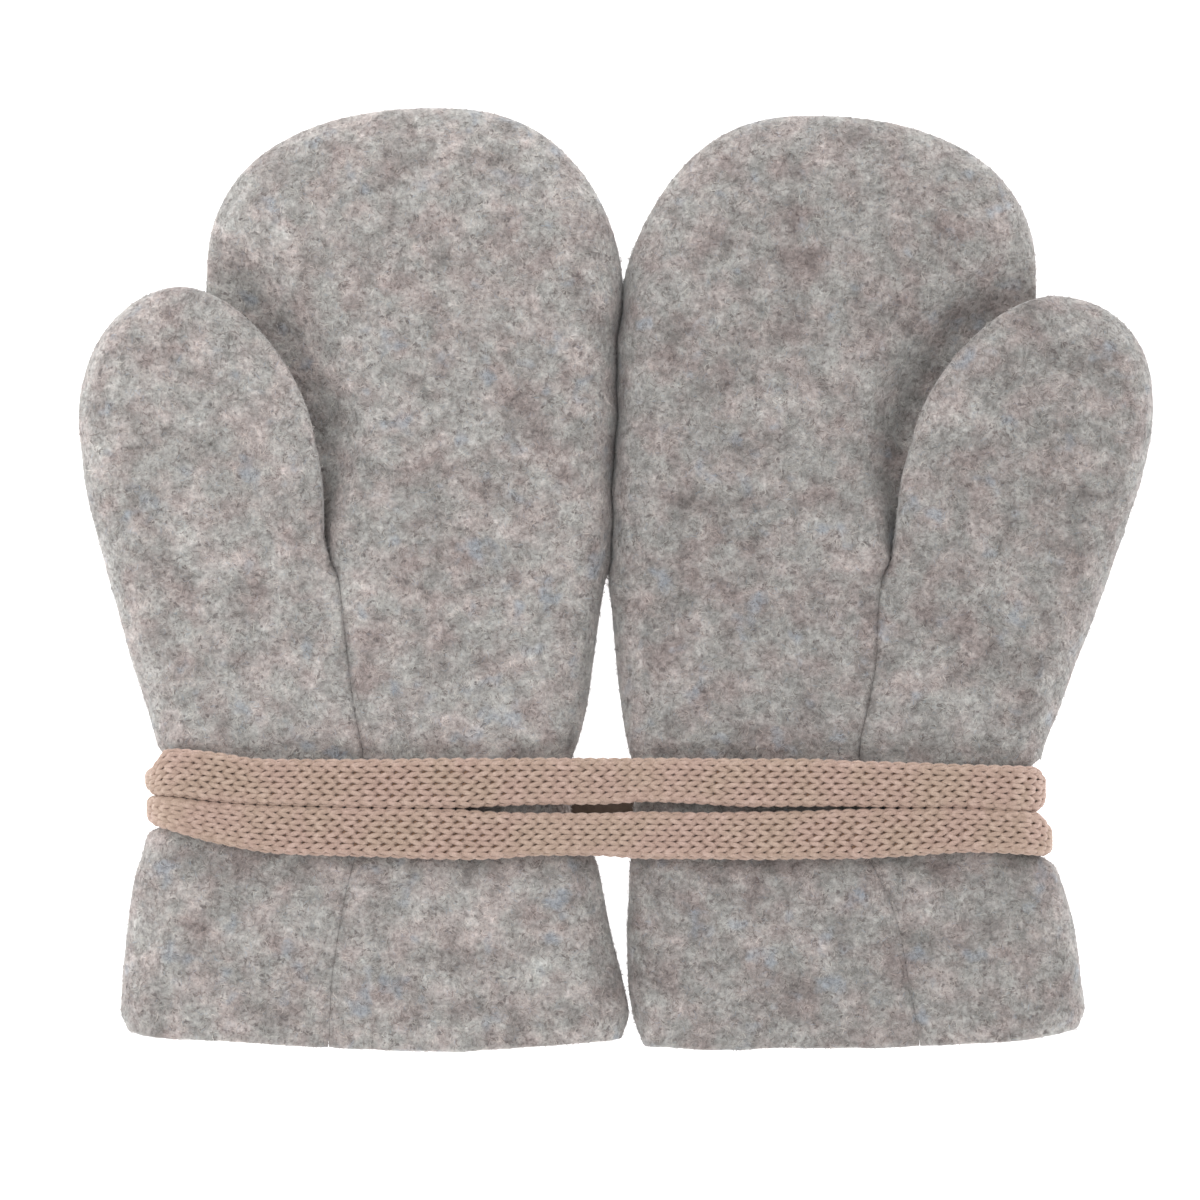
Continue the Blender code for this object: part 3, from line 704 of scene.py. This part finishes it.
def build_panel(name, surfaces, pattern, over, material):
    """A wall of cloth from its two sides, with rolled seams, folds and the felt's unevenness."""
    outside, inside = surfaces
    points = np.array(outside.points)
    along = np.array(outside.along)
    normals = normals_of(outside.points, outside.faces)
    at_front = near_front_seam(points, pattern) if over > 0 else np.zeros(len(points))
    at_meeting = np.array([pattern.meeting(y) for y in points[:, 1]]) * (
        points[:, 0] * pattern.mitten.side < pattern.column["palm"](FORK_Y) / 2.0)
    side_roll = SIDE_ROLL.depth * np.exp(-(along / SIDE_ROLL.width) ** 2) * (
        1.0 - at_front - at_meeting)
    above_cuff = points[:, 1] > CUFF_Y
    roll_depth, roll_width = (np.where(above_cuff, *sizes) for sizes in zip(FRONT_ROLL, CUFF_ROLL))
    front_roll = roll_depth * np.exp(-(along / roll_width) ** 2) * at_front
    folds = FRONT_FOLDS if over > 0 else BACK_FOLDS
    clear = 1.0 - np.exp(-(along / EDGE_REACH) ** 2)
    push = clear * (lump_height(points) - fold_depth(points, folds)) - side_roll
    points = points + normals * push[:, None]
    points[:, 2] = np.maximum(points[:, 2] - front_roll, 0.0)
    points = np.vstack([points, inside.points])
    shift = len(outside.points)
    faces = [tuple(corners) for corners in outside.faces]
    faces += [tuple(corner + shift for corner in reversed(corners)) for corners in inside.faces]
    faces += zip_borders(outside.border(), [corner + shift for corner in inside.border()], points)
    mesh = mesh_of(name, points, faces)
    mesh.materials.append(material)
    return add_object(name, mesh), len(outside.faces)


# ---- nap


def unit(vectors):
    return vectors / np.linalg.norm(vectors, axis=-1, keepdims=True)


def scattered(cloth, face_count, per_mm2, rng):
    """Points spread evenly over the outer side of a panel, with the surface's normals there."""
    mesh = cloth.data
    mesh.calc_loop_triangles()
    owner = read(mesh.loop_triangles, "polygon_index", 1, int)[:, 0]
    corners = read(mesh.loop_triangles, "vertices", 3, int)[owner < face_count]
    places = read(mesh.vertices, "co", 3)[corners] / MM
    normals = read(mesh.vertices, "normal", 3)[corners]
    area = np.linalg.norm(np.cross(places[:, 1] - places[:, 0], places[:, 2] - places[:, 0]), axis=1) / 2
    count = int(area.sum() * per_mm2)
    chosen = rng.choice(len(area), count, p=area / area.sum())
    first, second = rng.random((2, count))
    root = np.sqrt(first)
    weights = np.stack([1.0 - root, root * (1.0 - second), root * second], axis=1)[:, :, None]
    return (places[chosen] * weights).sum(axis=1), unit((normals[chosen] * weights).sum(axis=1))


def build_nap(name, cloth, face_count, per_mm2, seed, material):
    """Short loose fibres that lie over the cloth in every direction, one mesh for a panel."""
    rng = np.random.default_rng(seed)
    place, normal = scattered(cloth, face_count, per_mm2, rng)
    count = len(place)
    aside = unit(np.cross(normal, unit(rng.normal(size=(count, 3)))))
    ahead = np.cross(aside, normal)
    length = rng.uniform(*FIBRE_LENGTH, (count, 1))
    rise = rng.uniform(*FIBRE_RISE, (count, 1)) * length
    bend = rng.normal(0.0, FIBRE_BEND, (count, 1)) * length
    half = FIBRE_WIDTH / 2.0 * rng.uniform(*FIBRE_WIDTH_SPREAD, (count, 1))
    root = place - ahead * length / 2.0 - normal * FIBRE_SUNK
    middle = place + normal * rise + aside * bend
    tip_rise = rng.uniform(*FIBRE_TIP_RISE, (count, 1))
    tip = place + ahead * length / 2.0 + normal * rise * tip_rise
    points = np.stack([root - aside * half, root + aside * half, middle + aside * half,
                       middle - aside * half, tip], axis=1).reshape(-1, 3)
    points[:, 2] = np.maximum(points[:, 2], FIBRE_LOWEST)
    fibres = np.arange(count)[:, None]
    corners = FIBRE_POINTS * fibres + np.array(FIBRE_CORNERS)
    starts = len(FIBRE_CORNERS) * fibres + np.array(FIBRE_FACE_STARTS)
    mesh = bpy.data.meshes.new(name)
    mesh.vertices.add(len(points))
    mesh.vertices.foreach_set("co", (points * MM).ravel())
    mesh.loops.add(corners.size)
    mesh.loops.foreach_set("vertex_index", corners.ravel())
    mesh.polygons.add(starts.size)
    mesh.polygons.foreach_set("loop_start", starts.ravel())
    mesh.update(calc_edges=True)
    mesh.validate()
    mesh.shade_smooth()
    mesh.materials.append(material)
    return add_object(name, mesh)


# ---- cord


class Band:
    """The flat cord along a path of (x, y, z, width), with its width along y."""

    def __init__(self, path):
        path = np.array(path)
        steps = np.linalg.norm(np.diff(path[:, :3], axis=0), axis=1)
        self.along = np.concatenate([[0.0], np.cumsum(steps)])
        self.length = self.along[-1]
        self.path = path
        run = np.gradient(path[:, 0], self.along)
        climb = np.gradient(path[:, 2], self.along)
        self.normal = unit(np.stack([-climb, run], axis=1))

    def at(self, along, around, proud, thick=CORD_THICK):
        """Points at a distance along the cord, a share of the way round its section and a height
        over the surface of a section of that thickness. Round the section, 0 is the middle of the
        outer face and 0.5 the middle of its back."""
        x, y, z, width = (np.interp(along, self.along, self.path[:, i]) for i in range(4))
        normal_x = np.interp(along, self.along, self.normal[:, 0])
        normal_z = np.interp(along, self.along, self.normal[:, 1])
        radius = thick / 2.0
        reach = width / 2.0 - CORD_THICK / 2.0
        round_share = math.pi * radius / (4.0 * reach + 2.0 * math.pi * radius)
        flat_share = 0.25 - round_share / 2.0
        around = (around + 0.5) % 1.0 - 0.5
        side = np.sign(around)
        share = np.abs(around)
        on_arc = np.clip((share - flat_share) / round_share, 0.0, 1.0)
        angle = math.pi * on_arc
        flat = np.where(share < 0.25, share / flat_share, (0.5 - share) / flat_share)
        across = side * (reach * np.clip(flat, 0.0, 1.0) + (radius + proud) * np.sin(angle))
        lift = (radius + proud) * np.cos(angle)
        return np.stack([x + normal_x * lift, y + across, z + normal_z * lift], axis=-1)


def curves_of(table):
    return curve_through(table, "x", "y"), curve_through(table, "x", "width")


def wound_run(table, turns):
    """Path of a run over the wrists, with the turn round an outer edge at each end."""
    y_at, width_at = curves_of(table)
    low, high = CORD_THICK / 2.0, CORD_UNDERSIDE + CORD_THICK / 2.0
    radius = (high - low) / 2.0
    left_centre = turns[0] + CORD_THICK / 2.0 + radius
    right_centre = turns[1] - CORD_THICK / 2.0 - radius
    path = []
    for angle in np.linspace(0.0, math.pi, TURN_POINTS):
        x = left_centre - radius * math.sin(angle)
        path.append((x, y_at(x), low + radius * (1.0 - math.cos(angle)), width_at(x)))
    for x in np.arange(left_centre + RUN_PITCH, right_centre, RUN_PITCH):
        path.append((x, y_at(x), high, width_at(x)))
    for angle in np.linspace(0.0, math.pi, TURN_POINTS):
        x = right_centre + radius * math.sin(angle)
        path.append((x, y_at(x), high - radius * (1.0 - math.cos(angle)), width_at(x)))
    return path


def flat_run(table):
    """Path of a run that lies on the surface beneath the wrists, its outer face down."""
    y_at, width_at = curves_of(table)
    places = np.linspace(table[-1].x, table[0].x, FLAT_POINTS)
    return [(x, y_at(x), CORD_THICK / 2.0, width_at(x)) for x in places]


def tube_faces(rings, sides):
    """Faces of a closed tube whose points are given ring by ring."""
    faces = []
    for ring in range(rings - 1):
        for i in range(sides):
            j = (i + 1) % sides
            faces.append((ring * sides + i, ring * sides + j,
                          (ring + 1) * sides + j, (ring + 1) * sides + i))
    faces.append(tuple(reversed(range(sides))))
    faces.append(tuple(range((rings - 1) * sides, rings * sides)))
    return faces


def core_of(band):
    """The inside of the cord, which shows between the stitches: points and faces."""
    rings = max(2, int(band.length / CORE_RING_PITCH))
    along = np.linspace(CORE_INSET, band.length - CORE_INSET, rings)
    along, around = np.meshgrid(along, np.arange(CORE_SIDES) / CORE_SIDES, indexing="ij")
    points = band.at(along, around, 0.0, CORE_THICK).reshape(-1, 3)
    return points, tube_faces(rings, CORE_SIDES)


def courses_along(band):
    """Where the courses of a band begin, closer together where it is less stretched."""
    course_at = curve_through(STRETCHED, "x", "course")
    starts = [LOOP_LENGTH / 2.0]
    room = LOOP_LENGTH / 2.0 + COURSE_DRIFT * SHOWN_WALES * TIGHTEST_COURSE
    while starts[-1] < band.length - room:
        x = float(np.interp(starts[-1], band.along, band.path[:, 0]))
        starts.append(starts[-1] + course_at(x))
    return np.array(starts[:-1])


def stitches_of(band, rng):
    """Courses of yarn, each a row of loops round the outer face of the cord: points and faces."""
    starts = courses_along(band)
    count = len(starts)
    turn = np.arange(LOOP_STEPS * SHOWN_WALES + 1) / LOOP_STEPS
    wale = np.floor(turn).astype(int)
    each_wale = (count, SHOWN_WALES + 1)
    swell = LOOP_SWELL * (1.0 + rng.normal(0.0, SWELL_SPREAD, each_wale))[:, wale]
    reach = LOOP_LENGTH / 2.0 * (1.0 + rng.normal(0.0, REACH_SPREAD, each_wale))[:, wale]
    phase = 2.0 * math.pi * turn
    across = turn + swell * np.sin(2.0 * phase) + rng.normal(0.0, SWAY_SPREAD, (count, 1))
    around = (across - SHOWN_WALES / 2.0) / WALES
    along = starts[:, None] + reach * np.cos(phase) + COURSE_DRIFT * LOOSEST_COURSE * turn
    height = -LOOP_ARCH * np.cos(2.0 * phase) - YARN_HEIGHT / 2.0 - YARN_SUNK
    centre = band.at(along, around, height)
    up = unit(band.at(along, around, height + UP_PROBE) - centre)
    ahead = unit(np.gradient(centre, axis=1))
    aside = unit(np.cross(ahead, up))
    up = np.cross(aside, ahead)
    angles = np.arange(YARN_SIDES) / YARN_SIDES * 2.0 * math.pi
    flat = YARN_WIDTH / 2.0 * np.cos(angles)[:, None]
    thick = YARN_HEIGHT / 2.0 * np.sin(angles)[:, None]
    points = centre[:, :, None] + aside[:, :, None] * flat + up[:, :, None] * thick
    rings = len(turn)
    faces = [tuple(corner + course * rings * YARN_SIDES for corner in corners)
             for course in range(count) for corners in tube_faces(rings, YARN_SIDES)]
    return points.reshape(-1, 3), faces


def build_cord(name, path, seed, yarn, core):
    band = Band(path)
    points, faces = stitches_of(band, np.random.default_rng(seed))
    core_points, core_faces = core_of(band)
    shift = len(points)
    count = len(faces)
    faces += [tuple(corner + shift for corner in corners) for corners in core_faces]
    points = np.vstack([points, core_points])
    points[:, 2] = np.maximum(points[:, 2], 0.0)
    mesh = mesh_of(name, points, faces)
    mesh.materials.append(yarn)
    mesh.materials.append(core)
    slots = np.zeros(len(faces), int)
    slots[count:] = 1
    mesh.polygons.foreach_set("material_index", slots)
    return add_object(name, mesh)


# ---- materials


class Nodes:
    """Short ways to add nodes to a material."""

    def __init__(self, name):
        self.material = bpy.data.materials.new(name)
        self.material.use_nodes = True
        self.tree = self.material.node_tree
        self.shader = self.tree.nodes["Principled BSDF"]
        self.place = self.tree.nodes.new("ShaderNodeTexCoord").outputs["Object"]

    def link(self, output, socket):
        self.tree.links.new(output, socket)

    def noise(self, size_mm, detail, roughness, offset=0.0):
        """Noise whose lumps are about size_mm across."""
        mapping = self.tree.nodes.new("ShaderNodeMapping")
        mapping.inputs["Location"].default_value = (offset, offset, offset)
        texture = self.tree.nodes.new("ShaderNodeTexNoise")
        texture.inputs["Scale"].default_value = 1.0 / (size_mm * MM)
        texture.inputs["Detail"].default_value = detail
        texture.inputs["Roughness"].default_value = roughness
        self.link(self.place, mapping.inputs["Vector"])
        self.link(mapping.outputs["Vector"], texture.inputs["Vector"])
        return texture.outputs[0]

    def ramp(self, value, stops, steps=False):
        """Colours by value, from stops of (position, colour)."""
        node = self.tree.nodes.new("ShaderNodeValToRGB")
        node.color_ramp.interpolation = "CONSTANT" if steps else "LINEAR"
        elements = node.color_ramp.elements
        while len(elements) < len(stops):
            elements.new(0.5)
        for element, (position, colour) in zip(elements, stops):
            element.position = position
            element.color = (*colour, 1.0)
        self.link(value, node.inputs[0])
        return node.outputs[0]

    def mix(self, kind, share, first, second):
        """Two colours mixed; share is a number or a socket."""
        node = self.tree.nodes.new("ShaderNodeMix")
        node.data_type = "RGBA"
        node.blend_type = kind
        if isinstance(share, float):
            node.inputs[0].default_value = share
        else:
            self.link(share, node.inputs[0])
        for socket, colour in ((node.inputs[6], first), (node.inputs[7], second)):
            if isinstance(colour, tuple):
                socket.default_value = (*colour, 1.0)
            else:
                self.link(colour, socket)
        return node.outputs[2]

    def tint(self, tone, by):
        return self.mix("MULTIPLY", 1.0, tone, by)

    def bump(self, height, distance_mm, strength):
        node = self.tree.nodes.new("ShaderNodeBump")
        node.inputs["Distance"].default_value = distance_mm * MM
        node.inputs["Strength"].default_value = strength
        self.link(height, node.inputs["Height"])
        self.link(node.outputs["Normal"], self.shader.inputs["Normal"])

    def fill(self, values):
        """Sets the shader's values that are the same all over."""
        for name, value in values.items():
            self.shader.inputs[name].default_value = value

    def paint(self, tone, values):
        self.link(tone, self.shader.inputs["Base Color"])
        self.fill(values)


def grey(value):
    return (value, value, value)


def melange(nodes, shade):
    """The wool's mottled tone: warm and cool grey clouds with a few bluish ones."""
    clouds = nodes.noise(7.0, 5.0, 0.62)
    # The mitten's factor darkens all its cloud colours: painted shade for light that falls off towards
    # the right
    tone = nodes.ramp(clouds, [(place, tuple(shade * part for part in colour))
                               for place, colour in WOOL_CLOUDS])
    warm = nodes.ramp(nodes.noise(5.0, 3.0, 0.5, 0.31), [(0.42, grey(0.0)), (0.62, grey(1.0))])
    tone = nodes.tint(tone, nodes.ramp(warm, [(0.0, (0.97, 1.0, 0.99)), (1.0, (1.04, 0.985, 0.975))]))
    for size, offset, spread in WOOL_MOTTLES:
        mottle = nodes.ramp(nodes.noise(size, 2.0, 0.5, offset), [(0.34, grey(1.0 - spread)),
                                                                  (0.66, grey(1.0 + spread))])
        tone = nodes.tint(tone, mottle)
    blue = nodes.ramp(nodes.noise(4.5, 2.0, 0.5, 0.77), [(0.62, grey(0.0)), (0.74, grey(0.7))])
    return nodes.mix("MIX", blue, tone, (0.315, 0.345, 0.385))


def wool_material(mitten):
    """Felted ground of the cloth, under the nap."""
    nodes = Nodes("wool_fleece_ground_" + mitten.name)
    tone = melange(nodes, mitten.shade)
    grain = nodes.noise(0.55, 3.0, 0.7, 0.13)
    tone = nodes.tint(tone, nodes.ramp(grain, [(0.30, grey(0.62)), (0.70, grey(1.22))]))
    flecks = nodes.ramp(nodes.noise(1.1, 2.0, 0.6, 0.53), [(0.30, grey(0.75)), (0.40, grey(0.0))])
    tone = nodes.mix("MIX", flecks, tone, (0.115, 0.098, 0.095))
    nodes.paint(tone, {"Roughness": 1.0, "Specular IOR Level": 0.1, "Sheen Weight": 0.5,
                       "Sheen Roughness": 0.5})
    nodes.bump(grain, 0.25, 0.8)
    return nodes.material


def nap_material(mitten):
    """Loose fibres: each has one colour, from nearly black to nearly white."""
    nodes = Nodes("wool_fleece_nap_" + mitten.name)
    chance = nodes.tree.nodes.new("ShaderNodeNewGeometry").outputs["Random Per Island"]
    fibre = nodes.ramp(chance, [
        (0.0, (0.55, 0.50, 0.49)),
        (0.14, (0.77, 0.74, 0.73)),
        (0.38, (1.00, 0.97, 0.95)),
        (0.66, (1.18, 1.16, 1.13)),
        (0.88, (1.34, 1.32, 1.28)),
        (0.96, (0.88, 0.98, 1.10)),
    ], steps=True)
    tone = nodes.tint(melange(nodes, mitten.shade), fibre)
    nodes.paint(tone, {"Roughness": 0.9, "Specular IOR Level": 0.15, "Sheen Weight": 0.5,
                       "Sheen Roughness": 0.45})
    nodes.bump(nodes.noise(0.12, 2.0, 0.5), 0.05, 0.5)
    return nodes.material


def yarn_material():
    """Cotton yarn of the cord, a little lighter and darker from stitch to stitch."""
    nodes = Nodes("knitted_cord_yarn")
    stitch = nodes.ramp(nodes.noise(1.3, 2.0, 0.6, 0.2), [(0.32, (0.378, 0.270, 0.216)),
                                                         (0.50, (0.425, 0.305, 0.247)),
                                                         (0.68, (0.505, 0.375, 0.312))])
    drift = nodes.ramp(nodes.noise(7.0, 2.0, 0.5), [(0.38, (0.985, 1.0, 0.97)),
                                                   (0.62, (1.015, 0.99, 1.01))])
    tone = nodes.tint(stitch, drift)
    plies = nodes.noise(0.2, 2.0, 0.6)
    tone = nodes.tint(tone, nodes.ramp(plies, [(0.3, grey(0.84)), (0.7, grey(1.12))]))
    nodes.paint(tone, {"Roughness": 0.8, "Specular IOR Level": 0.3, "Sheen Weight": 0.2})
    nodes.bump(plies, 0.08, 0.6)
    return nodes.material


def core_material(name, dark, light):
    """Shaded yarn inside the cord."""
    nodes = Nodes(name)
    tone = nodes.ramp(nodes.noise(0.6, 2.0, 0.5), [(0.3, dark), (0.7, light)])
    nodes.paint(tone, {"Roughness": 0.95})
    return nodes.material


# ---- picture


def place_camera():
    data = bpy.data.cameras.new("camera")
    data.lens = LENS
    data.sensor_width = SENSOR
    camera = add_object("camera", data)
    distance = FIELD * LENS / SENSOR
    camera.location = (MM * FIELD_CENTRE[0], MM * FIELD_CENTRE[1], MM * (distance + FOCUS_HEIGHT))
    bpy.context.scene.camera = camera


def place_lights():
    """A light tent, brighter at the sides than above, and a broad soft lamp at the upper left."""
    world = bpy.data.worlds.new("light_tent")
    world.use_nodes = True
    nodes = world.node_tree.nodes
    links = world.node_tree.links
    parts = nodes.new("ShaderNodeSeparateXYZ")
    tent = nodes.new("ShaderNodeValToRGB")
    tent.color_ramp.elements[0].color = (1.0, 1.0, 1.0, 1.0)
    tent.color_ramp.elements[1].color = (*grey(TENT_TOP / TENT_SIDES), 1.0)
    links.new(nodes.new("ShaderNodeTexCoord").outputs["Generated"], parts.inputs[0])
    links.new(parts.outputs["Z"], tent.inputs[0])
    links.new(tent.outputs[0], nodes["Background"].inputs["Color"])
    nodes["Background"].inputs["Strength"].default_value = TENT_SIDES
    bpy.context.scene.world = world
    data = bpy.data.lights.new("key", "AREA")
    data.shape = "DISK"
    data.size = KEY_SIZE
    data.energy = KEY_POWER
    key = add_object("key", data)
    key.location = KEY_PLACE
    key.rotation_euler = (-key.location).to_track_quat("-Z", "Y").to_euler()
    bpy.context.scene.view_settings.view_transform = "Standard"


def place_floor():
    corners = [(x * FLOOR_HALF, y * FLOOR_HALF, 0.0) for x, y in ((-1, -1), (1, -1), (1, 1), (-1, 1))]
    mesh = bpy.data.meshes.new("floor")
    mesh.from_pydata(corners, [], [(0, 1, 2, 3)])
    nodes = Nodes("floor")
    nodes.fill({"Base Color": (0.9, 0.9, 0.9, 1.0), "Roughness": 0.9,
                "Emission Color": (1.0, 1.0, 1.0, 1.0), "Emission Strength": FLOOR_GLOW})
    mesh.materials.append(nodes.material)
    add_object("floor", mesh)


# ---- the pair


def dress_cord():
    yarn, core = yarn_material(), core_material("knitted_cord_core", *CORE_COLOURS)
    # The stretch beneath the wrists gets a darker core: painted shade
    painted_shade_core = core_material("knitted_cord_core_beneath_painted_shade", *CORE_COLOURS_BENEATH_SHADED)
    runs = {
        "cord_upper": wound_run(UPPER_RUN, UPPER_TURNS),
        "cord_lower": wound_run(LOWER_RUN, LOWER_TURNS),
        "cord_under": flat_run(CROSSING),
        "cord_left_end": flat_run(LEFT_END),
        "cord_right_end": flat_run(RIGHT_END),
    }
    for seed, (node, path) in enumerate(runs.items(), start=11):
        inside = painted_shade_core if node == "cord_under" else core
        cord = build_cord(node + "_knit", path, seed, yarn, inside)
        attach(cord, "root")
        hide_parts(node)


def panel_surfaces(pattern, panel):
    outside, inside = Surface(), Surface()
    flip = pattern.mitten.side > 0
    if panel == "palm":
        add_lobe(outside, inside, pattern, "hand", pattern.hand_top, 1, flip)
    elif panel == "thumb":
        add_lobe(outside, inside, pattern, "thumb", pattern.thumb_top, 1, flip)
    else:
        add_lobe(outside, inside, pattern, "hand", pattern.hand_under, -1, not flip)
        add_lobe(outside, inside, pattern, "thumb", pattern.thumb_under, -1, not flip)
    return outside, inside


def dress_mittens():
    for place, mitten in enumerate(MITTENS):
        ground, fibres = wool_material(mitten), nap_material(mitten)
        pattern = Pattern(mitten)
        for turn, (panel, cut) in enumerate(CUTS.items()):
            node = f"{mitten.name}_{panel}"
            over = -1 if panel == "back" else 1
            cloth, outer_faces = build_panel(node + "_cloth", panel_surfaces(pattern, panel), pattern,
                                             over, ground)
            density = NAP_BACK if panel == "back" else NAP_FRONT
            nap = build_nap(node + "_nap", cloth, outer_faces, density, 100 + 10 * place + turn, fibres)
            for piece in (cloth, nap):
                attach(piece, "root")
            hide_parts(node)


place_camera()
dress_cord()
dress_mittens()
place_lights()
place_floor()
